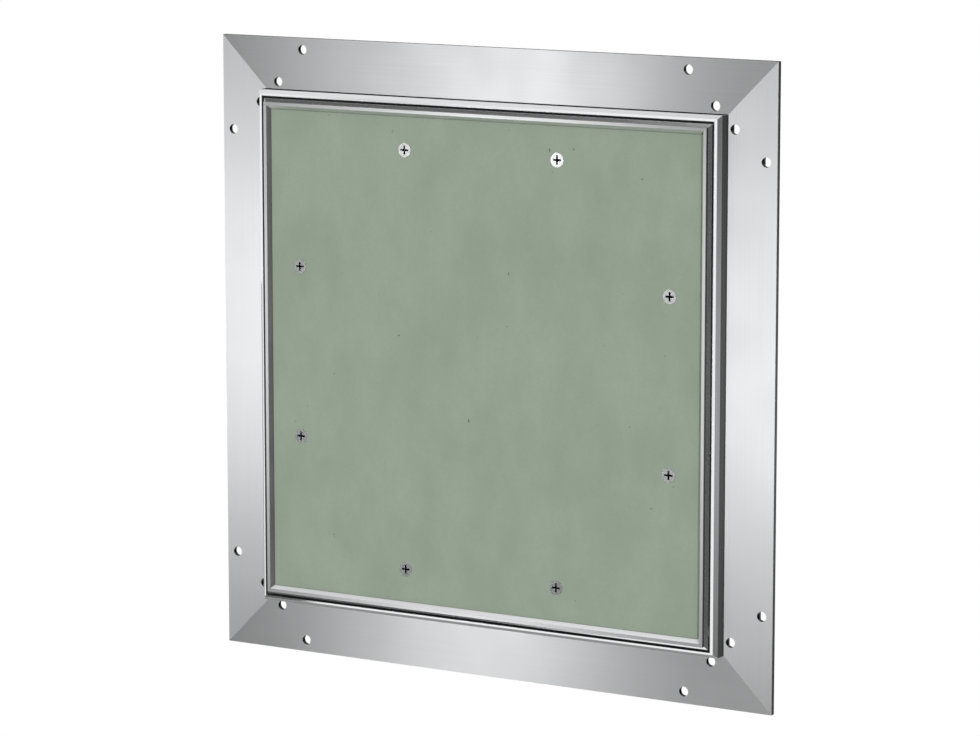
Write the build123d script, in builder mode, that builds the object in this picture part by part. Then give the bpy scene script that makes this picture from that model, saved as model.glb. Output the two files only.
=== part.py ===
from build123d import *
from math import cos, radians, sin
import os

# Drywall access panel with a touch latch. A mitred aluminium frame is screwed behind the wall's
# plasterboard, and a leaf filled with moisture-resistant board tips open on two bottom pivots.
# X runs to the right, Y into the wall and Z up, with the origin in the middle of the panel, on the
# front face of the frame's flange. A profile is drawn as (out, front): out from the middle of the
# panel, and forward from the flange's front face.

# Frame
clear_opening = 300.0
flange_width = 30.6
flange_thick = 3.0
collar_wall = 3.4
collar_height = 10.4
collar_chamfer = 2.0
crest_drop = 1.0
web_wall = 2.0
lip_front = 8.0
lip_thick = 2.0
lip_width = 10.6

# Fixing holes in the flange, set in from its outer edge and along from its corners
hole_diameter = 5.8
outer_hole_inset = 6.9
outer_hole_from_corner = 56.0
inner_hole_inset = 26.4
inner_hole_from_corner = 38.8

# Corner keys of the frame, in a channel behind the flange
frame_key_width = 9.0
frame_key_thick = 3.0
frame_key_leg = 45.0
channel_wall = 1.0
channel_hook = 1.5
key_clearance = 0.15

# Leaf frame
leaf_gap = 1.5
shoulder_width = 1.75
shoulder_height = 10.0
shoulder_rise = 0.9
bead_width = 1.9
bead_height = 13.5
bevel_width = 2.1
leaf_wall = 1.3
rail_width = 26.3
rail_thick = 1.5
leaf_key_leg = 24.0

# Board and its screws
board_thick = 12.5
board_front = 11.4
board_clearance = 0.15
screw_inset = 19.4
screw_from_middle = 50.7
screw_length = 25.0
screw_diameter = 3.5
screw_head_diameter = 8.4
screw_head_depth = 4.1
screw_point = 5.0
countersink_angle = 60.0
thread_clearance = 0.05
rim_clearance = 0.1
recess_span = 5.3
recess_depth = 2.6
screw_recess_arm = 1.1

# Bottom pivots
pivot_front = 6.0
pivot_rise = 10.5
pivot_diameter = 3.5
pivot_seat = 2.4
pivot_reach = 4.0
pivot_clearance = 0.05
bush_wall = 0.6
bush_flange_diameter = 8.0
bush_flange_thick = 0.8

# Striker on the leaf's top rail
striker_width = 32.0
striker_height = 18.0
striker_thick = 2.0
striker_screw_spacing = 22.0
striker_screw_length = 9.5
striker_screw_head_diameter = 6.4
striker_screw_head_depth = 1.9
striker_recess_span = 4.0
striker_recess_depth = 1.8
stud_neck_diameter = 4.4
stud_neck_length = 4.8
stud_head_diameter = 8.8
stud_cone_length = 1.4
stud_rim_length = 0.2
stud_bevel = 0.8
stud_tail_diameter = 3.0

# Touch latch behind the frame's rear lip, drawn released: plunger in and jaws open
latch_width = 32.0
latch_height = 16.4
latch_depth = 30.0
latch_wall = 1.6
ear_thick = 2.0
ear_margin = 1.0
latch_screw_spacing = 20.0
latch_screw_diameter = 2.9
latch_screw_length = 5.5
latch_screw_head_diameter = 5.6
latch_screw_head_thick = 1.8
cover_thick = 1.6
cover_plug = 2.0
cover_clearance = 0.1
release_stroke = 3.0
jaw_swing = 18.0
jaw_clearance = 0.3
jaw_pin_diameter = 2.5
jaw_pin_room = 4.9
jaw_pin_back = 6.0
jaw_boss = 2.6
hook_reach = 9.6
hook_gap = 0.4
hook_back = 7.0
hook_tip_thick = 0.8
hook_bevel_width = 4.2
hook_flat_width = 1.8
jaw_elbow_out = 2.1
jaw_elbow_back = 6.0
jaw_tail_out = 2.1
jaw_tail_back = 1.5
nose_radius = 1.1
nose_back = 6.9
collar_room = 0.4
collar_thick = 3.0
collar_play = 0.2
tip_radius = 4.5
tip_length = 3.1
waist_radius = 3.6
waist_length = 8.0
rod_radius = 2.5
rod_length = 17.5
rod_clearance = 0.1
spring_wire = 1.0
spring_radius = 3.6
spring_turns = 5

# Places that follow from the sizes above
half_open = clear_opening / 2
collar_out = half_open + collar_wall
frame_half = collar_out + flange_width
lip_in = half_open - lip_width
lip_back = lip_front + lip_thick
outer_row = frame_half - outer_hole_inset
inner_row = frame_half - inner_hole_inset
outer_along = frame_half - outer_hole_from_corner
inner_along = frame_half - inner_hole_from_corner
key_line = (outer_row + inner_row) / 2
channel_half = frame_key_width / 2 + key_clearance
channel_floor = flange_thick + frame_key_thick + 2 * key_clearance

leaf_half = half_open - leaf_gap
bead_out = leaf_half - shoulder_width
bead_in = bead_out - bead_width
board_pocket = bead_in - bevel_width
board_half = board_pocket - board_clearance
board_back = board_thick - board_front
rail_in = board_pocket - rail_width
rail_back = board_back + rail_thick
chamber_in = board_pocket + leaf_wall
chamber_out = leaf_half - leaf_wall
chamber_front = shoulder_height + shoulder_rise / 2 - leaf_wall
leaf_key_thick = chamber_out - chamber_in - 2 * key_clearance
screw_row = board_pocket - screw_inset

pivot_z = pivot_rise - leaf_half
pivot_y = -pivot_front
bush_radius = pivot_diameter / 2 + pivot_clearance + bush_wall

latch_z = (rail_in + board_pocket) / 2
latch_y = lip_back
striker_back = rail_back + striker_thick
jaw_pin_y = latch_y + jaw_pin_back
ear_top = half_open - ear_margin
ear_screw_z = (lip_in + ear_top) / 2
head_back = striker_back + stud_neck_length + stud_cone_length + stud_rim_length + stud_bevel
jaw_pin_spacing = latch_width - 2 * latch_wall - 2 * jaw_pin_room
collar_radius = latch_height / 2 - latch_wall - collar_room
tip_front = head_back + jaw_clearance + release_stroke
waist_front = tip_front + tip_length
collar_front = waist_front + waist_length
collar_back = collar_front + collar_thick
cover_front = latch_y + latch_depth - cover_plug


def outward(turn):
    """Direction away from the panel's middle on the side reached by turning from the top."""
    return Vector(sin(radians(turn)), 0, cos(radians(turn)))


def along(turn):
    """Direction that a side's extrusion runs in."""
    return Vector(cos(radians(turn)), 0, -sin(radians(turn)))


def section_plane(turn):
    """Plane of a side's section: x is out and y is front."""
    return Plane(origin=(0, 0, 0), x_dir=outward(turn), z_dir=along(turn))


def face_plane(turn, front=0.0):
    """Plane parallel to the wall, seen from the front: x is along a side and y is out."""
    return Plane(origin=(0, -front, 0), x_dir=along(turn), z_dir=(0, -1, 0))


def mitre(turn):
    """Cuts the extrusion in the current part to 45 degrees at both ends."""
    for end in (along(turn), -along(turn)):
        split(bisect_by=Plane(origin=(0, 0, 0), z_dir=end - outward(turn)), keep=Keep.BOTTOM)


def pivot_plane(side, out):
    """Plane square to the pivot axis at a distance out on the right (1) or left (-1) side."""
    return Plane(origin=(side * out, pivot_y, pivot_z), x_dir=(0, 0, 1), z_dir=(side, 0, 0))


def frame_side(name, turn):
    """One side of the frame: flange, collar, web, rear lip and key channel in one extrusion."""
    with BuildPart() as side:
        with BuildSketch(section_plane(turn)):
            with BuildLine():
                Polyline(
                    (frame_half, 0),
                    (collar_out, 0),
                    (collar_out, collar_height - crest_drop - collar_chamfer),
                    (collar_out - collar_chamfer, collar_height - crest_drop),
                    (half_open, collar_height),
                    (half_open, -lip_front),
                    (lip_in, -lip_front),
                    (lip_in, -lip_back),
                    (half_open + web_wall, -lip_back),
                    (half_open + web_wall, -flange_thick),
                    (frame_half, -flange_thick),
                    close=True,
                )
            make_face()
            with Locations((key_line, -flange_thick)):
                Rectangle(
                    2 * (channel_half + channel_wall),
                    channel_floor + channel_wall - flange_thick,
                    align=(Align.CENTER, Align.MAX),
                )
                Rectangle(
                    2 * channel_half,
                    channel_floor - flange_thick,
                    align=(Align.CENTER, Align.MAX),
                    mode=Mode.SUBTRACT,
                )
                Rectangle(
                    2 * (channel_half - channel_hook),
                    channel_floor + channel_wall - flange_thick,
                    align=(Align.CENTER, Align.MAX),
                    mode=Mode.SUBTRACT,
                )
        extrude(amount=frame_half, both=True)
        mitre(turn)
        with BuildSketch(face_plane(turn)):
            with Locations(
                (-outer_along, outer_row),
                (outer_along, outer_row),
                (-inner_along, inner_row),
                (inner_along, inner_row),
            ):
                Circle(hole_diameter / 2)
        extrude(amount=-flange_thick, mode=Mode.SUBTRACT)
        if name in ("left", "right"):
            with BuildSketch(pivot_plane(1 if name == "right" else -1, half_open)):
                Circle(pivot_diameter / 2)
            extrude(amount=pivot_seat, mode=Mode.SUBTRACT)
        if name == "top":
            with BuildSketch(face_plane(turn, -lip_front)):
                with Locations(
                    (-latch_screw_spacing / 2, ear_screw_z),
                    (latch_screw_spacing / 2, ear_screw_z),
                ):
                    Circle(latch_screw_diameter / 2 + thread_clearance)
            extrude(amount=-lip_thick, mode=Mode.SUBTRACT)
    return side.part


def leaf_side(name, turn):
    """One side of the leaf: hollow stile with its bead, and the rail behind the board's edge."""
    with BuildPart() as side:
        with BuildSketch(section_plane(turn)):
            with BuildLine():
                Polyline(
                    (leaf_half, -rail_back),
                    (leaf_half, shoulder_height),
                    (bead_out, shoulder_height + shoulder_rise),
                    (bead_out, bead_height),
                    (bead_in, bead_height),
                    (board_pocket, board_front),
                    (board_pocket, -board_back),
                    (rail_in, -board_back),
                    (rail_in, -rail_back),
                    close=True,
                )
            make_face()
            with Locations((chamber_in, -board_back)):
                Rectangle(
                    chamber_out - chamber_in,
                    chamber_front + board_back,
                    align=(Align.MIN, Align.MIN),
                    mode=Mode.SUBTRACT,
                )
        extrude(amount=leaf_half, both=True)
        mitre(turn)
        with BuildSketch(face_plane(turn, -board_back)):
            with Locations((-screw_from_middle, screw_row), (screw_from_middle, screw_row)):
                Circle(screw_diameter / 2 + thread_clearance)
            if name == "top":
                with Locations(
                    (-striker_screw_spacing / 2, latch_z),
                    (striker_screw_spacing / 2, latch_z),
                ):
                    Circle(screw_diameter / 2 + thread_clearance)
        extrude(amount=-rail_thick, mode=Mode.SUBTRACT)
        if name in ("left", "right"):
            with BuildSketch(pivot_plane(1 if name == "right" else -1, chamber_out)):
                Circle(bush_radius + pivot_clearance)
            extrude(amount=leaf_wall, mode=Mode.SUBTRACT)
    return side.part


def corner_key(turn, corner_out, width, leg, front, depth):
    """Flat L in the plane of the wall, with its elbow at the corner clockwise of a side."""
    with BuildPart() as key:
        with BuildSketch(face_plane(turn, front)):
            with Locations((corner_out, corner_out)):
                Rectangle(leg, width, align=(Align.MAX, Align.MAX))
                Rectangle(width, leg, align=(Align.MAX, Align.MAX))
        extrude(amount=-depth)
    return key.part


def leaf_key(turn):
    """Corner key that fills the leaf's chamber at the corner clockwise of a side."""
    return corner_key(
        turn,
        chamber_out - key_clearance,
        leaf_key_thick,
        leaf_key_leg,
        chamber_front - key_clearance,
        chamber_front + board_back - 2 * key_clearance,
    )


def cross_head_screw(outline, recess_span, recess_arm, recess_depth):
    """Turns a half outline about Z and cuts a cross recess into the head at the origin."""
    with BuildPart() as screw:
        with BuildSketch(Plane.XZ):
            with BuildLine():
                Polyline(*outline, close=True)
            make_face()
        revolve(axis=Axis.Z)
        with BuildSketch(Plane.XY):
            Rectangle(recess_span, recess_arm)
            Rectangle(recess_arm, recess_span)
        extrude(amount=-recess_depth / 2, mode=Mode.SUBTRACT)
        with BuildSketch(Plane.XY):
            Rectangle(recess_span / 2, recess_arm)
            Rectangle(recess_arm, recess_span / 2)
        extrude(amount=-recess_depth, mode=Mode.SUBTRACT)
    return screw.part


def countersunk_screw(length, head_diameter, head_depth, recess_span, recess_depth):
    """Pointed screw with a flat head flush at the origin, pointing down -Z."""
    shank = screw_diameter / 2
    outline = (
        (0, -length),
        (0, 0),
        (head_diameter / 2, 0),
        (shank, -head_depth),
        (shank, screw_point - length),
    )
    return cross_head_screw(outline, recess_span, screw_recess_arm, recess_depth)


def pan_head_screw(length, diameter, head_diameter, head_thick):
    """Screw with a bevelled raised head, its top at the origin, pointing down -Z."""
    shank = diameter / 2
    head = head_diameter / 2
    bevel = head_thick / 2
    point_y = -head_thick - length
    outline = (
        (0, point_y),
        (0, 0),
        (head - bevel, 0),
        (head, -bevel),
        (head, -head_thick),
        (shank, -head_thick),
        (shank, point_y + diameter),
    )
    return cross_head_screw(outline, head, screw_recess_arm / 2, head_thick)


def latch_plane(depth):
    """Plane parallel to the wall through the latch's middle line, seen from behind."""
    return Plane(origin=(0, depth, latch_z), x_dir=(-1, 0, 0), z_dir=(0, 1, 0))


def latch_jaw(side):
    """Right (1) or left (-1) jaw, swung open about its pin."""
    swing = radians(jaw_swing)
    pin_half = jaw_pin_spacing / 2
    tip = stud_neck_diameter / 2 + hook_gap - pin_half
    nose = collar_radius + collar_play + nose_radius - pin_half
    arm = hook_gap - jaw_boss
    cone_slope = 2 * stud_cone_length / (stud_head_diameter - stud_neck_diameter)
    half_height = latch_height / 2 - latch_wall - jaw_clearance
    plane = Plane(
        origin=(side * pin_half, jaw_pin_y, latch_z - half_height),
        x_dir=(cos(swing), side * sin(swing), 0),
        z_dir=(0, 0, 1),
    )
    with BuildPart() as jaw:
        with BuildSketch(plane):
            Circle(jaw_boss)
            with BuildLine():
                Polyline(
                    (side * tip, -hook_back),
                    (side * tip, -hook_back - hook_tip_thick),
                    (side * (tip + hook_bevel_width), -hook_reach),
                    (side * (tip + hook_bevel_width + hook_flat_width), -hook_reach),
                    (side * jaw_elbow_out, -jaw_elbow_back),
                    (side * jaw_boss, 0),
                    (side * arm, 0),
                    (side * arm, cone_slope * (arm - tip) - hook_back),
                    close=True,
                )
            make_face()
            with BuildLine():
                Polyline(
                    (side * (nose - nose_radius), nose_back),
                    (side * -jaw_boss, 0),
                    (side * jaw_tail_out, jaw_tail_back),
                    (side * (nose + nose_radius), nose_back),
                    close=True,
                )
            make_face()
            with Locations((side * nose, nose_back)):
                Circle(nose_radius)
            Circle(jaw_pin_diameter / 2 + pivot_clearance, mode=Mode.SUBTRACT)
        extrude(amount=2 * half_height)
    return jaw.part


def write(part, name):
    """Labels a finished piece and writes its file."""
    part.label = name
    export_step(part, f"parts/{name}.step")


os.makedirs("parts", exist_ok=True)
side_names = ("top", "right", "bottom", "left")
sides = {name: 90 * quarter for quarter, name in enumerate(side_names)}

# The four mitred sides of the frame and of the leaf
for side_name, side_turn in sides.items():
    write(frame_side(side_name, side_turn), f"frame_{side_name}")
    write(leaf_side(side_name, side_turn), f"leaf_{side_name}")

# Corner keys: four flat ones behind the flange, and four in the leaf's hollow stiles
with BuildPart() as frame_corner_keys:
    for side_turn in sides.values():
        add(
            corner_key(
                side_turn,
                key_line + frame_key_width / 2,
                frame_key_width,
                frame_key_leg,
                -flange_thick - key_clearance,
                frame_key_thick,
            )
        )
write(frame_corner_keys.part, "frame_corner_keys")

with BuildPart() as leaf_corner_keys:
    add(leaf_key(sides["top"]))
    add(leaf_key(sides["left"]))
write(leaf_corner_keys.part, "leaf_corner_keys")

# The bottom keys are bored for the pivot bushes
with BuildPart() as leaf_pivot_keys:
    add(leaf_key(sides["right"]))
    add(leaf_key(sides["bottom"]))
    for side in (1, -1):
        with BuildSketch(pivot_plane(side, chamber_in)):
            Circle(bush_radius + pivot_clearance)
        extrude(amount=chamber_out - chamber_in, mode=Mode.SUBTRACT)
write(leaf_pivot_keys.part, "leaf_pivot_keys")

# Pivot pins pressed into the frame's collar, and the flanged bushes that turn on them
with BuildPart() as pivot_pins:
    for side in (1, -1):
        with BuildSketch(pivot_plane(side, leaf_half - pivot_reach)):
            Circle(pivot_diameter / 2)
        extrude(amount=pivot_reach + leaf_gap + pivot_seat)
write(pivot_pins.part, "pivot_pins")

with BuildPart() as pivot_bushes:
    for side in (1, -1):
        with BuildSketch(pivot_plane(side, leaf_half - pivot_reach)):
            Circle(bush_radius)
        extrude(amount=pivot_reach)
        with BuildSketch(pivot_plane(side, leaf_half)):
            Circle(bush_flange_diameter / 2)
        extrude(amount=bush_flange_thick)
        with BuildSketch(pivot_plane(side, leaf_half - pivot_reach)):
            Circle(pivot_diameter / 2 + pivot_clearance)
        extrude(amount=pivot_reach + bush_flange_thick, mode=Mode.SUBTRACT)
write(pivot_bushes.part, "pivot_bushes")

# Board, with its screws set flush into the face
screw_points = [
    (face_plane(turn).x_dir * place + face_plane(turn).y_dir * screw_row)
    for turn in sides.values()
    for place in (-screw_from_middle, screw_from_middle)
]
board_face = face_plane(sides["top"], board_front)
striker_holes = [(-striker_screw_spacing / 2, latch_z), (striker_screw_spacing / 2, latch_z)]

with BuildPart(board_face) as board:
    Box(2 * board_half, 2 * board_half, board_thick, align=(Align.CENTER, Align.CENTER, Align.MAX))
    with Locations(*[(point.X, point.Z) for point in screw_points]):
        CounterSinkHole(
            radius=screw_diameter / 2 + thread_clearance,
            counter_sink_radius=screw_head_diameter / 2 + rim_clearance,
            counter_sink_angle=countersink_angle,
        )
    with BuildSketch(face_plane(sides["top"], -board_back)):
        with Locations(*striker_holes):
            Circle(screw_diameter / 2 + thread_clearance)
    extrude(amount=striker_screw_length - striker_thick - rail_thick + rim_clearance, mode=Mode.SUBTRACT)
write(board.part, "board")

board_screw = countersunk_screw(
    screw_length, screw_head_diameter, screw_head_depth, recess_span, recess_depth
)
with BuildPart(board_face) as board_screws:
    with Locations(*[(point.X, point.Z) for point in screw_points]):
        add(board_screw)
write(board_screws.part, "board_screws")

# Striker: a plate on the leaf's top rail that carries the stud which the jaws grip
with BuildPart(latch_plane(striker_back)) as striker_plate:
    with BuildSketch(latch_plane(rail_back)):
        RectangleRounded(striker_width, striker_height, striker_thick)
        Circle(stud_tail_diameter / 2 + thread_clearance, mode=Mode.SUBTRACT)
    extrude(amount=striker_thick)
    with Locations((-striker_screw_spacing / 2, 0), (striker_screw_spacing / 2, 0)):
        CounterSinkHole(
            radius=screw_diameter / 2 + thread_clearance,
            counter_sink_radius=striker_screw_head_diameter / 2 + rim_clearance,
            counter_sink_angle=countersink_angle,
        )
write(striker_plate.part, "striker_plate")

with BuildPart() as striker_stud:
    with BuildSketch(Plane.YZ):
        with BuildLine():
            Polyline(
                (rail_back, latch_z),
                (rail_back, latch_z + stud_tail_diameter / 2),
                (striker_back, latch_z + stud_tail_diameter / 2),
                (striker_back, latch_z + stud_neck_diameter / 2),
                (striker_back + stud_neck_length, latch_z + stud_neck_diameter / 2),
                (
                    striker_back + stud_neck_length + stud_cone_length,
                    latch_z + stud_head_diameter / 2,
                ),
                (head_back - stud_bevel, latch_z + stud_head_diameter / 2),
                (head_back, latch_z + stud_head_diameter / 2 - stud_bevel),
                (head_back, latch_z),
                close=True,
            )
        make_face()
    revolve(axis=Axis((0, 0, latch_z), (0, 1, 0)))
write(striker_stud.part, "striker_stud")

striker_screw = countersunk_screw(
    striker_screw_length,
    striker_screw_head_diameter,
    striker_screw_head_depth,
    striker_recess_span,
    striker_recess_depth,
)
with BuildPart(latch_plane(striker_back)) as striker_screws:
    with Locations((-striker_screw_spacing / 2, 0), (striker_screw_spacing / 2, 0)):
        add(striker_screw)
write(striker_screws.part, "striker_screws")

# Latch housing: a sleeve open to the striker, with an ear screwed behind the frame's rear lip
ear_height = ear_top - latch_z - latch_height / 2
latch_holes = [
    (-latch_screw_spacing / 2, ear_screw_z - latch_z),
    (latch_screw_spacing / 2, ear_screw_z - latch_z),
]
jaw_pin_points = [(-jaw_pin_spacing / 2, jaw_pin_y), (jaw_pin_spacing / 2, jaw_pin_y)]

with BuildPart() as latch_housing:
    with BuildSketch(latch_plane(latch_y)):
        RectangleRounded(latch_width, latch_height, latch_wall)
        Rectangle(
            latch_width - 2 * latch_wall, latch_height - 2 * latch_wall, mode=Mode.SUBTRACT
        )
    extrude(amount=latch_depth)
    with BuildSketch(latch_plane(latch_y)):
        with Locations((0, latch_height / 2 - latch_wall)):
            Rectangle(
                latch_width - 2 * latch_wall,
                ear_height + latch_wall,
                align=(Align.CENTER, Align.MIN),
            )
        with Locations(*latch_holes):
            Circle(latch_screw_diameter / 2 + thread_clearance, mode=Mode.SUBTRACT)
    extrude(amount=ear_thick)
    with BuildSketch(Plane.YZ.offset(-ear_thick / 2)):
        with BuildLine():
            Polyline(
                (latch_y, ear_top),
                (latch_y + ear_thick, ear_top),
                (latch_y + ear_height, ear_top - ear_height),
                (latch_y, ear_top - ear_height),
                close=True,
            )
        make_face()
    extrude(amount=ear_thick)
    with BuildSketch(Plane.XY.offset(latch_z - latch_height / 2)):
        with Locations(*jaw_pin_points):
            Circle(jaw_pin_diameter / 2 + pivot_clearance)
    extrude(amount=latch_height, mode=Mode.SUBTRACT)
write(latch_housing.part, "latch_housing")

with BuildPart() as latch_cover:
    with BuildSketch(latch_plane(latch_y + latch_depth)):
        RectangleRounded(latch_width, latch_height, latch_wall)
    extrude(amount=cover_thick)
    with BuildSketch(latch_plane(cover_front)):
        Rectangle(
            latch_width - 2 * latch_wall - 2 * cover_clearance,
            latch_height - 2 * latch_wall - 2 * cover_clearance,
        )
    extrude(amount=cover_plug)
    with BuildSketch(latch_plane(cover_front)):
        Circle(rod_radius + rod_clearance)
    extrude(amount=cover_plug + cover_thick, mode=Mode.SUBTRACT)
write(latch_cover.part, "latch_cover")

latch_screw = pan_head_screw(
    latch_screw_length, latch_screw_diameter, latch_screw_head_diameter, latch_screw_head_thick
)
with BuildPart(latch_plane(latch_y + ear_thick + latch_screw_head_thick)) as latch_screws:
    with Locations(*latch_holes):
        add(latch_screw)
write(latch_screws.part, "latch_screws")

with BuildPart() as latch_pins:
    with BuildSketch(Plane.XY.offset(latch_z - latch_height / 2)):
        with Locations(*jaw_pin_points):
            Circle(jaw_pin_diameter / 2)
    extrude(amount=latch_height)
write(latch_pins.part, "latch_pins")

# Plunger: its tip meets the stud, its waist makes room for the jaws' tails, and its rod carries
# the spring and runs out through the cover
with BuildPart() as latch_plunger:
    with BuildSketch(latch_plane(tip_front)):
        Circle(tip_radius)
    extrude(amount=tip_length)
    with BuildSketch(latch_plane(waist_front)):
        Circle(waist_radius)
    extrude(amount=waist_length)
    with BuildSketch(latch_plane(collar_front)):
        Circle(rod_radius)
    extrude(amount=rod_length)
    chamfer(latch_plunger.edges().group_by(Axis.Y)[0], length=stud_bevel)
    chamfer(latch_plunger.edges().group_by(Axis.Y)[-1], length=stud_bevel)
write(latch_plunger.part, "latch_plunger")

with BuildPart() as latch_collar:
    with BuildSketch(latch_plane(collar_front)):
        Circle(collar_radius)
        Circle(rod_radius + cover_clearance / 2, mode=Mode.SUBTRACT)
    extrude(amount=collar_thick)
write(latch_collar.part, "latch_collar")

for jaw_name, jaw_side in (("right", 1), ("left", -1)):
    write(latch_jaw(jaw_side), f"latch_jaw_{jaw_name}")

# The spring's round wire has six flats here
spring_length = cover_front - collar_back - spring_wire
with BuildPart() as latch_spring:
    with BuildLine():
        coil = Helix(
            pitch=spring_length / spring_turns,
            height=spring_length,
            radius=spring_radius,
            center=(0, collar_back + spring_wire / 2, latch_z),
            direction=(0, 1, 0),
        )
    with BuildSketch(Plane(origin=coil @ 0, z_dir=coil % 0)):
        RegularPolygon(spring_wire / 2, 6)
    sweep(path=coil, is_frenet=True)
write(latch_spring.part, "latch_spring")
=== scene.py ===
from math import cos, radians, sin

import bmesh
import bpy
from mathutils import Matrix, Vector


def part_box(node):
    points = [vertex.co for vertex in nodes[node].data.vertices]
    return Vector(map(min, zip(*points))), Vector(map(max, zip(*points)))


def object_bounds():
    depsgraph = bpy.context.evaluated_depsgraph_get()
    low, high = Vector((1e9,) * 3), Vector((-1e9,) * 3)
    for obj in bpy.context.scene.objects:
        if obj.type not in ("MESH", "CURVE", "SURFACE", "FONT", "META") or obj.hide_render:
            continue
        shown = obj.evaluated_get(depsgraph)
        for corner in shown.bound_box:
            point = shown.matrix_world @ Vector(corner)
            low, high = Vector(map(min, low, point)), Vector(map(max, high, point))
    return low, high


# A drywall access panel: a mitred aluminium frame with a leaf of moisture-resistant board.
# The solids come ready made, and this script gives them their finish, light and camera.
# Lengths are in metres. Azimuth turns from the panel's front to its right, elevation goes up.

# Camera, at the angle of the photograph
view_azimuth = radians(30.71)
view_elevation = radians(9.19)
view_distance = 2.3866
view_lens = 151.82
view_aim = Vector((0, 0, -0.0013))

# Light
key_distance = 1.6
ambient_level = 0.98
card_distance = 3.2
card_fade = 0.5
card_steps = 12
floor_drop = 0.8
floor_reach = 40.0
floor_roughness = 0.9

# Extruded aluminium, with faces that lie parallel to the wall brushed and side faces drawn
streak_length = 0.12
streak_width = 0.0004
streak_depth = 0.000001
brushed_roughness = 0.34
drawn_roughness = 0.08
polish_patch = 0.05
polish_change = 0.015
brush_anisotropy = 0.89
across_the_streaks = 0.25
edge_radius = 0.00018
# Reach and samples of the occlusion that paints shade onto side faces
shade_reach = 0.003
shade_samples = 8

# How squarely a face lies to the wall, from 0 to 1, where one finish turns into another and where
# painted shade starts or stops
brushed_from = (0.95, 0.99)
shaded_until = (0.5, 0.8)
paper_from = (0.9, 0.95)
bored_below = 0.5

# Punched and bored places
below_surface = 0.0001
flange_back = 0.003
rim_margin = 0.0005
collar_margin = 0.006
recess_depth = 0.0027
thread_start = 0.0042
thread_pitch = 0.0013
thread_depth = 0.0008
half_turn = 0.5

# Board
fibre_size = 0.0012
fibre_depth = 0.00006
fibre_strength = 0.35
stain_size = (0.03, 0.03, 0.05)
speck_size = 0.0045
speck_strength = 0.8
paper_roughness = (0.78, 0.9)
paper_specular = 0.3

# Smaller pieces
screw_mottle = 0.003
screw_polish = (0.2, 0.22)
machined_edge = 0.0001
mottle_polish = (-0.05, 0.06)
crystals_per_metre = 320.0
crystal_polish = (0.32, 0.46)
crystal_depth = 0.00001
sheet_edge = 0.0002
shade_patch = 0.01
grain_polish = (-0.06, 0.06)
moulded_edge = 0.00025

# Noise lies mostly in the first span
noise_span = (0.3, 0.7)
full_span = (0.0, 1.0)
rare_span = (0.76, 0.79)

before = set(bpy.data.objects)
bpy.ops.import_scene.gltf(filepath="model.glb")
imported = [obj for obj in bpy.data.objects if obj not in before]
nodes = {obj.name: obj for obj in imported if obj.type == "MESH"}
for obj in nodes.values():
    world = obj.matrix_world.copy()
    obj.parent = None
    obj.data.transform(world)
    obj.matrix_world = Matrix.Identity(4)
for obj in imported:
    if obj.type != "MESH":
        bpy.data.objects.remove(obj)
cad_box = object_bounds()
scene = bpy.context.scene
board_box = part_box("board")
rim_place = cad_box[1][0] - rim_margin
collar_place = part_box("leaf_right")[1].x + collar_margin


def srgb(red, green, blue):
    """Linear colour of an 8-bit screen colour."""
    return tuple(((value / 255 + 0.055) / 1.055) ** 2.4 for value in (red, green, blue)) + (1.0,)


def direction(azimuth, elevation):
    """Unit vector from the panel towards an azimuth and elevation."""
    return Vector((
        sin(azimuth) * cos(elevation),
        -cos(azimuth) * cos(elevation),
        sin(elevation),
    ))


along_x = (1.0, 0.0, 0.0)
along_z = (0.0, 0.0, 1.0)

# Tones, in pairs from dark to light. The leaf's upright sides get darker tones than its level ones,
# as painted shade
white = (1.0, 1.0, 1.0, 1.0)
floor_tone = (0.92, 0.92, 0.92, 1.0)
frame_tones = (srgb(235, 236, 237), srgb(241, 242, 243))
leaf_tones = (srgb(234, 235, 236), srgb(240, 241, 242))
# Painted shade: darker tones for the same aluminium on the leaf's upright sides
leaf_upright_shade_tones = (srgb(204, 205, 206), srgb(210, 211, 212))
# Painted shade: the dark colour given to the walls of the punched holes
hole_wall_shade_tone = srgb(52, 53, 55)
# Painted shade: the dark colour given to side faces that stand close to other faces
painted_shade_tone = srgb(40, 41, 42)
face_paper_tones = (srgb(142, 154, 137), srgb(153, 165, 148))
fibre_tone = srgb(136, 150, 132)
speck_tone = srgb(70, 80, 68)
back_paper_tones = (srgb(150, 143, 128), srgb(166, 158, 142))
gypsum_tones = (srgb(205, 203, 196), srgb(222, 220, 214))
zinc_tones = (srgb(172, 174, 174), srgb(186, 188, 187))
# Painted shade: the dark colour given to the screws' cross recesses
recess_shade_tone = srgb(12, 12, 13)
crystal_tones = (srgb(168, 171, 174), srgb(196, 199, 202))
turned_steel_tones = (srgb(188, 189, 191), srgb(206, 207, 209))
latch_steel_tones = (srgb(170, 172, 174), srgb(198, 199, 201))
spring_steel_tones = (srgb(120, 122, 126), srgb(150, 152, 156))
grey_nylon_tones = (srgb(84, 84, 85), srgb(94, 94, 95))
black_plastic_tones = (srgb(28, 29, 31), srgb(38, 39, 41))


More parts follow.
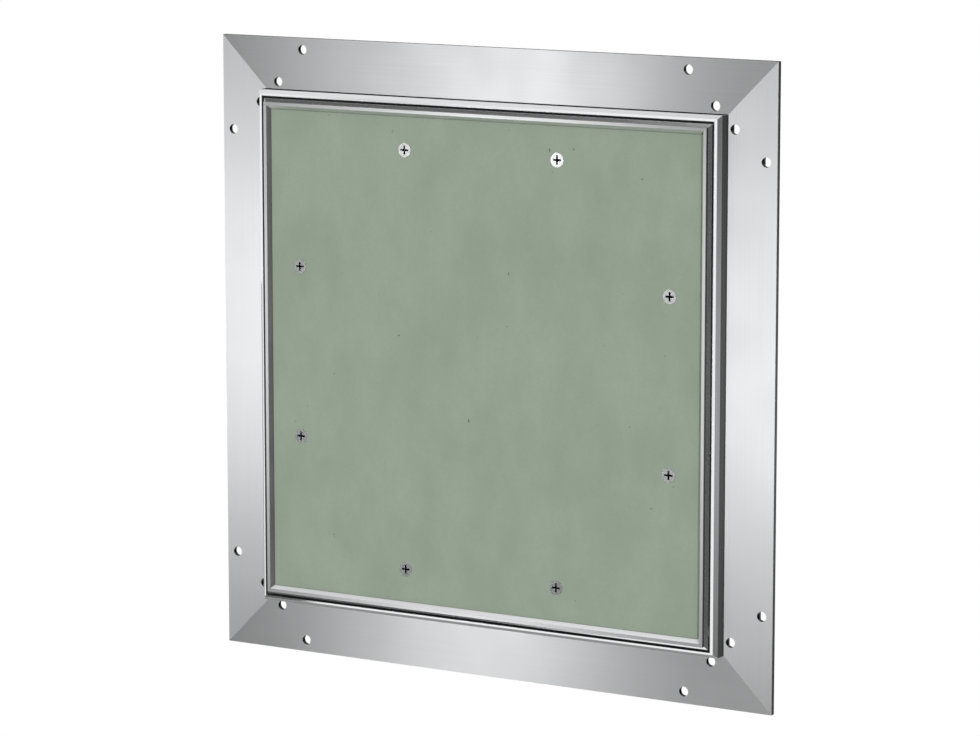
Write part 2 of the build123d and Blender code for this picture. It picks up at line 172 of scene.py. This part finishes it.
class Tree:
    """A node tree, built by adding nodes and linking them by socket name."""

    def __init__(self, tree):
        self.nodes = tree.nodes
        self.links = tree.links

    def add(self, kind, inputs=None, **settings):
        """Adds a node with its settings, and gives its inputs values or links."""
        node = self.nodes.new(kind)
        for name, value in settings.items():
            setattr(node, name, value)
        self.set(node, inputs or {})
        return node

    def set(self, node, inputs):
        """Sets a node's inputs by name or number: a socket is linked, the rest are values."""
        for name, value in inputs.items():
            if isinstance(value, bpy.types.NodeSocket):
                self.links.new(value, node.inputs[name])
            else:
                node.inputs[name].default_value = value

    def math(self, operation, *values):
        """One step of arithmetic."""
        return self.add("ShaderNodeMath", dict(enumerate(values)), operation=operation).outputs[0]

    def mix(self, factor, first, second, output):
        """Shows a mix of two shaders as the surface at an output node."""
        mix = self.add(
            "ShaderNodeMixShader", {"Fac": factor, 1: first.outputs[0], 2: second.outputs[0]}
        )
        self.set(self.nodes[output], {"Surface": mix.outputs[0]})


class Finish(Tree):
    """A procedural material."""

    def __init__(self, name):
        self.material = bpy.data.materials.new(name)
        self.material.use_nodes = True
        super().__init__(self.material.node_tree)
        self.shader = self.nodes["Principled BSDF"]

    def coordinate(self, kind):
        """Where a point of the piece is, or which way its surface faces, as it is at rest."""
        return self.add("ShaderNodeTexCoord").outputs[kind]

    def position(self, axis):
        """One coordinate of the piece as it is at rest."""
        place = self.add("ShaderNodeSeparateXYZ", {"Vector": self.coordinate("Object")})
        return place.outputs[axis]

    def facing(self):
        """How squarely the surface faces the front or the back, from 0 to 1."""
        normal = self.add("ShaderNodeSeparateXYZ", {"Vector": self.coordinate("Normal")})
        return self.math("ABSOLUTE", normal.outputs["Y"])

    def noise(self, size, detail=3.0, roughness=0.55):
        """Noise with a grain of one size, or of its own size along x, y and z."""
        sizes = size if isinstance(size, tuple) else (size, size, size)
        mapping = self.add(
            "ShaderNodeMapping",
            {"Vector": self.coordinate("Object"), "Scale": [1 / length for length in sizes]},
        )
        noise = self.add(
            "ShaderNodeTexNoise",
            {"Vector": mapping.outputs[0], "Scale": 1.0, "Detail": detail, "Roughness": roughness},
        )
        return noise.outputs["Fac"]

    def between(self, value, low, high, span=noise_span):
        """Maps a value's span onto low to high."""
        start, stop = span
        return self.add(
            "ShaderNodeMapRange",
            {"Value": value, "From Min": start, "From Max": stop, "To Min": low, "To Max": high},
        ).outputs[0]

    def within(self, value, low, high):
        """1 where a value lies between two limits, and 0 elsewhere."""
        above = self.math("GREATER_THAN", value, low)
        return self.math("MULTIPLY", above, self.math("LESS_THAN", value, high))

    def blend(self, factor, first, second):
        """Mixes two colours."""
        node = self.add("ShaderNodeMix", data_type="RGBA")
        sockets = {socket.identifier: socket for socket in node.inputs}
        for name, value in (("Factor_Float", factor), ("A_Color", first), ("B_Color", second)):
            if isinstance(value, bpy.types.NodeSocket):
                self.links.new(value, sockets[name])
            else:
                sockets[name].default_value = value
        return {socket.identifier: socket for socket in node.outputs}["Result_Color"]

    def mottle(self, value, tones):
        """Blends two tones over the span of a noise."""
        return self.blend(self.between(value, 0, 1), *tones)

    def relief(self, height, depth, radius=0.0):
        """Bumps the surface by a height, over edges that look rounded to a radius."""
        inputs = {"Height": height, "Distance": depth, "Strength": 1.0}
        if radius:
            inputs["Normal"] = self.add(
                "ShaderNodeBevel", {"Radius": radius}, samples=4
            ).outputs[0]
        bump = self.add("ShaderNodeBump", inputs)
        self.set(self.shader, {"Normal": bump.outputs[0]})


def brushed_aluminium(name, run, tones):
    """Extruded aluminium with fine lines along its run, which spread light across them."""
    finish = Finish(name)
    lines = finish.noise(tuple(streak_length if axis else streak_width for axis in run))
    facing = finish.facing()

    # The walls of the punched holes, which lie inside the flange between its collar and its rim,
    # get a dark colour as painted shade
    out = finish.math("ABSOLUTE", finish.position("X" if run == along_z else "Z"))
    bored = finish.math("LESS_THAN", facing, bored_below)
    for place in (
        finish.within(finish.position("Y"), below_surface, flange_back),
        finish.within(out, collar_place, rim_place),
    ):
        bored = finish.math("MULTIPLY", bored, place)

    # Painted shade: side faces get a dark colour where another face stands close to them
    openness = finish.add(
        "ShaderNodeAmbientOcclusion", {"Distance": shade_reach}, samples=shade_samples
    ).outputs["AO"]
    openness = finish.math("MAXIMUM", openness, finish.between(facing, 0, 1, shaded_until))
    tone = finish.blend(openness, painted_shade_tone, finish.mottle(lines, tones))

    polish = finish.between(facing, drawn_roughness, brushed_roughness, brushed_from)
    patches = finish.noise(polish_patch, detail=2.0)
    tangent = finish.add(
        "ShaderNodeVectorTransform",
        {"Vector": run},
        vector_type="VECTOR",
        convert_from="OBJECT",
        convert_to="WORLD",
    )
    finish.set(finish.shader, {
        "Base Color": finish.blend(bored, tone, hole_wall_shade_tone),
        "Metallic": 1.0,
        "Roughness": finish.math(
            "ADD", polish, finish.between(patches, -polish_change, polish_change)
        ),
        "Anisotropic": brush_anisotropy,
        "Anisotropic Rotation": across_the_streaks,
        "Tangent": tangent.outputs[0],
    })
    finish.relief(lines, streak_depth, edge_radius)
    return finish.material


def green_board():
    """Moisture-resistant board: green face paper, grey back paper and a pale gypsum core."""
    finish = Finish("green_board_paper")
    fibres = finish.noise(fibre_size, detail=6.0, roughness=0.7)
    stains = finish.noise(stain_size, detail=5.0, roughness=0.65)
    specks = finish.noise(speck_size, detail=2.0)
    front = finish.mottle(stains, face_paper_tones)
    front = finish.blend(finish.between(fibres, 0, fibre_strength), front, fibre_tone)
    front = finish.blend(finish.between(specks, 0, speck_strength, rare_span), front, speck_tone)
    back = finish.mottle(stains, back_paper_tones)
    core = finish.mottle(fibres, gypsum_tones)
    middle = (board_box[0].y + board_box[1].y) / 2
    paper = finish.blend(finish.math("GREATER_THAN", finish.position("Y"), middle), front, back)
    flat = finish.between(finish.facing(), 0, 1, paper_from)
    finish.set(finish.shader, {
        "Base Color": finish.blend(flat, core, paper),
        "Roughness": finish.between(fibres, *paper_roughness),
        "Specular IOR Level": paper_specular,
    })
    finish.relief(fibres, fibre_depth)
    return finish.material


def metal(name, tones, roughness, grain, depth):
    """A plain metal with a mottled tone and a little relief."""
    finish = Finish(name)
    mottle = finish.noise(grain, detail=4.0, roughness=0.6)
    brighter, duller = mottle_polish
    finish.set(finish.shader, {
        "Base Color": finish.mottle(mottle, tones),
        "Metallic": 1.0,
        "Roughness": finish.between(mottle, roughness + brighter, roughness + duller),
    })
    finish.relief(mottle, depth, machined_edge)
    return finish.material


def screw_zinc(name, head_face, way):
    """Bright zinc with painted shade in its cross recess, and a threaded shank that points along Y
    (1 or -1).
    """
    finish = Finish(name)
    mottle = finish.noise(screw_mottle, detail=2.0)
    depth = finish.math("MULTIPLY", finish.math("SUBTRACT", finish.position("Y"), head_face), way)
    recess = finish.within(depth, below_surface, recess_depth)
    finish.set(finish.shader, {
        "Base Color": finish.blend(recess, finish.mottle(mottle, zinc_tones), recess_shade_tone),
        "Metallic": 1.0,
        "Roughness": finish.between(mottle, *screw_polish),
    })
    turns = finish.math("PINGPONG", finish.math("DIVIDE", depth, thread_pitch), half_turn)
    thread = finish.math("MULTIPLY", turns, finish.math("GREATER_THAN", depth, thread_start))
    finish.relief(thread, thread_depth, machined_edge)
    return finish.material


def galvanised(name):
    """Zinc-coated steel sheet with crystal patches."""
    finish = Finish(name)
    crystals = finish.add(
        "ShaderNodeTexVoronoi",
        {"Vector": finish.coordinate("Object"), "Scale": crystals_per_metre},
        feature="F1",
    )
    crystal = finish.add("ShaderNodeSeparateColor", {"Color": crystals.outputs["Color"]}).outputs[0]
    finish.set(finish.shader, {
        "Base Color": finish.blend(crystal, *crystal_tones),
        "Metallic": 1.0,
        "Roughness": finish.between(crystal, *crystal_polish, full_span),
    })
    finish.relief(crystal, crystal_depth, sheet_edge)
    return finish.material


def plastic(name, tones, roughness, grain, depth):
    """Moulded plastic with a fine spark-eroded texture."""
    finish = Finish(name)
    texture = finish.noise(grain, detail=5.0, roughness=0.7)
    brighter, duller = grain_polish
    finish.set(finish.shader, {
        "Base Color": finish.mottle(finish.noise(shade_patch), tones),
        "Roughness": finish.between(texture, roughness + brighter, roughness + duller),
    })
    finish.relief(texture, depth, moulded_edge)
    return finish.material


def dress(material, *names):
    """Gives CAD nodes their finish."""
    for name in names:
        for slot in nodes[name].material_slots:
            slot.material = material


dress(
    brushed_aluminium("frame_aluminium_level", along_x, frame_tones),
    "frame_top", "frame_bottom",
)
dress(
    brushed_aluminium("frame_aluminium_upright", along_z, frame_tones),
    "frame_left", "frame_right",
)
dress(
    brushed_aluminium("leaf_aluminium_level", along_x, leaf_tones),
    "leaf_top", "leaf_bottom",
)
dress(
    brushed_aluminium("leaf_aluminium_upright", along_z, leaf_upright_shade_tones),
    "leaf_left", "leaf_right",
)
dress(green_board(), "board")
dress(screw_zinc("board_screw_zinc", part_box("board_screws")[0].y, 1), "board_screws")
for name in ("striker_screws", "latch_screws"):
    dress(screw_zinc(name + "_zinc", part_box(name)[1].y, -1), name)
dress(galvanised("key_sheet"), "frame_corner_keys", "leaf_corner_keys", "leaf_pivot_keys")
dress(
    metal("turned_steel", turned_steel_tones, roughness=0.25, grain=0.001, depth=0.000005),
    "pivot_pins", "striker_plate", "striker_stud", "latch_pins",
)
dress(
    metal("latch_steel", latch_steel_tones, roughness=0.3, grain=0.0015, depth=0.00001),
    "latch_plunger", "latch_jaw_left", "latch_jaw_right",
)
dress(
    metal("spring_steel", spring_steel_tones, roughness=0.28, grain=0.001, depth=0.00001),
    "latch_spring",
)
dress(
    plastic("grey_nylon", grey_nylon_tones, roughness=0.45, grain=0.0006, depth=0.00001),
    "pivot_bushes",
)
dress(
    plastic("black_plastic", black_plastic_tones, roughness=0.5, grain=0.0005, depth=0.00003),
    "latch_housing", "latch_cover", "latch_collar",
)

# Reflections show the studio, as in the photograph, and not the aluminium and its pivots
for name in nodes:
    if name.startswith(("frame_", "leaf_", "pivot_")):
        nodes[name].visible_glossy = False


def card_glow(name, level, middle, rise):
    """A glow for a card, stronger by a rise around a middle elevation."""
    finish = Finish(name)
    finish.nodes.remove(finish.shader)
    middle_height = card_distance * sin(radians(middle))
    away = finish.math("SUBTRACT", finish.position("Z"), middle_height)
    grade = finish.add(
        "ShaderNodeMapRange",
        {
            "Value": finish.math("ABSOLUTE", away),
            "From Max": card_fade,
            "To Min": level + rise,
            "To Max": level,
        },
        interpolation_type="SMOOTHSTEP",
    )
    glow = finish.add("ShaderNodeEmission", {"Strength": grade.outputs[0]})
    finish.set(finish.nodes["Material Output"], {"Surface": glow.outputs[0]})
    finish.material.cycles.emission_sampling = "NONE"
    return finish.material


def card(name, azimuths, elevations, level, middle=0, rise=0.0):
    """A curved studio card around the panel, seen only in reflections."""

    def share(ends, step):
        """Angle at a step of the way between two ends."""
        return radians(ends[0] + (ends[1] - ends[0]) * step / card_steps)

    mesh = bpy.data.meshes.new(name)
    shape = bmesh.new()
    grid = [
        [
            shape.verts.new(
                card_distance * direction(share(azimuths, column), share(elevations, row))
            )
            for column in range(card_steps + 1)
        ]
        for row in range(card_steps + 1)
    ]
    for row in range(card_steps):
        for column in range(card_steps):
            shape.faces.new((
                grid[row][column], grid[row][column + 1],
                grid[row + 1][column + 1], grid[row + 1][column],
            ))
    shape.to_mesh(mesh)
    shape.free()
    mesh.materials.append(card_glow(name, level, middle, rise))
    piece = bpy.data.objects.new(name, mesh)
    scene.collection.objects.link(piece)
    piece.visible_camera = False
    piece.visible_diffuse = False
    piece.visible_shadow = False


# Azimuths, elevations and glow: dark cards in front, with a brighter band near the level
card("flag_key", (-45, -16), (-57, 45), 0.12)
card("flag_left_low", (-92, -45), (-57, -20), 0.12)
card("flag_left_high", (-85, -45), (4, 45), 0.12)
card("flag_front_low", (-16, 13), (-57, -20), 0.14)
card("flag_front_high", (-16, 13), (4, 45), 0.14)
card("band_left_low", (-95, -45), (-20, -9), 0.4)
card("band_left_high", (-95, -45), (-9, 4), 0.75)
card("band_front_low", (-16, 13), (-20, -9), 0.45)
card("band_front_high", (-16, 13), (-9, 4), 0.9)
card("flag_right_front", (13, 33), (-40, 30), 0.12)
card("flag_right_inner", (51, 59), (-40, 30), 0.14)
card("flag_right_outer", (59, 85), (-40, 30), 0.12, middle=-9.5, rise=0.25)
card("flag_right_back", (130, 168), (-30, 20), 0.04, middle=-9.5, rise=0.06)
card("flag_left_back", (-165, -133), (-6, 24), 0.02)
card("flag_floor_back", (-140, -97), (-75, -40), 0.3)
card("flag_above", (-96, -55), (50, 68), 0.5, middle=58, rise=0.35)
card("flag_top", (-180, 180), (74, 90), 0.5)
card("flag_side_right", (85, 128), (-40, 40), 0.4)
card("flag_side_left", (-130, -97), (6, 40), 0.4)
card("flag_back", (168, 195), (-40, 40), 0.45)
card("flag_back_left", (-165, -118), (-40, -7), 0.4)


def studio_world():
    """White for the camera and for reflections, and an even ambient light on the part."""
    world = bpy.data.worlds.new("studio")
    scene.world = world
    world.use_nodes = True
    world.cycles.sampling_method = "NONE"
    tree = Tree(world.node_tree)
    background = tree.nodes["Background"]
    tree.set(background, {"Color": white, "Strength": 1.0})
    ambient = tree.add("ShaderNodeBackground", {"Color": white, "Strength": ambient_level})
    path = tree.add("ShaderNodeLightPath")
    seen = path.outputs["Is Camera Ray"]
    for ray in ("Is Glossy Ray", "Is Transmission Ray"):
        seen = tree.math("MAXIMUM", seen, path.outputs[ray])
    tree.mix(seen, ambient, background, "World Output")


def studio_floor():
    """A pale floor below the panel, which the camera sees as white as the background."""
    mesh = bpy.data.meshes.new("floor")
    corners = [
        (-floor_reach, -floor_reach, 0),
        (floor_reach, -floor_reach, 0),
        (floor_reach, floor_reach, 0),
        (-floor_reach, floor_reach, 0),
    ]
    mesh.from_pydata(corners, [], [(0, 1, 2, 3)])
    floor = bpy.data.objects.new("floor", mesh)
    floor.location.z = cad_box[0][2] - floor_drop
    floor.visible_glossy = False
    scene.collection.objects.link(floor)
    finish = Finish("floor_white")
    finish.set(finish.shader, {"Base Color": floor_tone, "Roughness": floor_roughness})
    glow = finish.add("ShaderNodeEmission", {"Strength": 1.0})
    camera_ray = finish.add("ShaderNodeLightPath").outputs["Is Camera Ray"]
    finish.mix(camera_ray, finish.shader, glow, "Material Output")
    mesh.materials.append(finish.material)


studio_world()
studio_floor()


def aim(piece, place, target):
    """Puts a light or camera at a place, looking at a target."""
    piece.location = place
    piece.rotation_euler = (target - place).to_track_quat("-Z", "Y").to_euler()


def key(name, azimuth, elevation, width, height, power):
    """A soft lamp without shadows, which the brushed faces spread into a band."""
    lamp = bpy.data.lights.new(name, "AREA")
    lamp.shape = "ELLIPSE"
    lamp.size = width
    lamp.size_y = height
    lamp.energy = power
    lamp.use_shadow = False
    piece = bpy.data.objects.new(name, lamp)
    scene.collection.objects.link(piece)
    aim(piece, key_distance * direction(radians(azimuth), radians(elevation)), Vector((0, 0, 0)))


key("key", azimuth=-29.9, elevation=-6.7, width=0.15, height=0.41, power=1.12)
key("key_low", azimuth=-7.6, elevation=-13.5, width=0.78, height=0.35, power=0.86)
key("key_high", azimuth=-34.9, elevation=7.4, width=0.16, height=0.09, power=0.30)

camera_data = bpy.data.cameras.new("camera")
camera_data.lens = view_lens
camera = bpy.data.objects.new("camera", camera_data)
scene.collection.objects.link(camera)
aim(camera, view_aim + view_distance * direction(view_azimuth, view_elevation), view_aim)
scene.camera = camera
scene.view_settings.view_transform = "Standard"
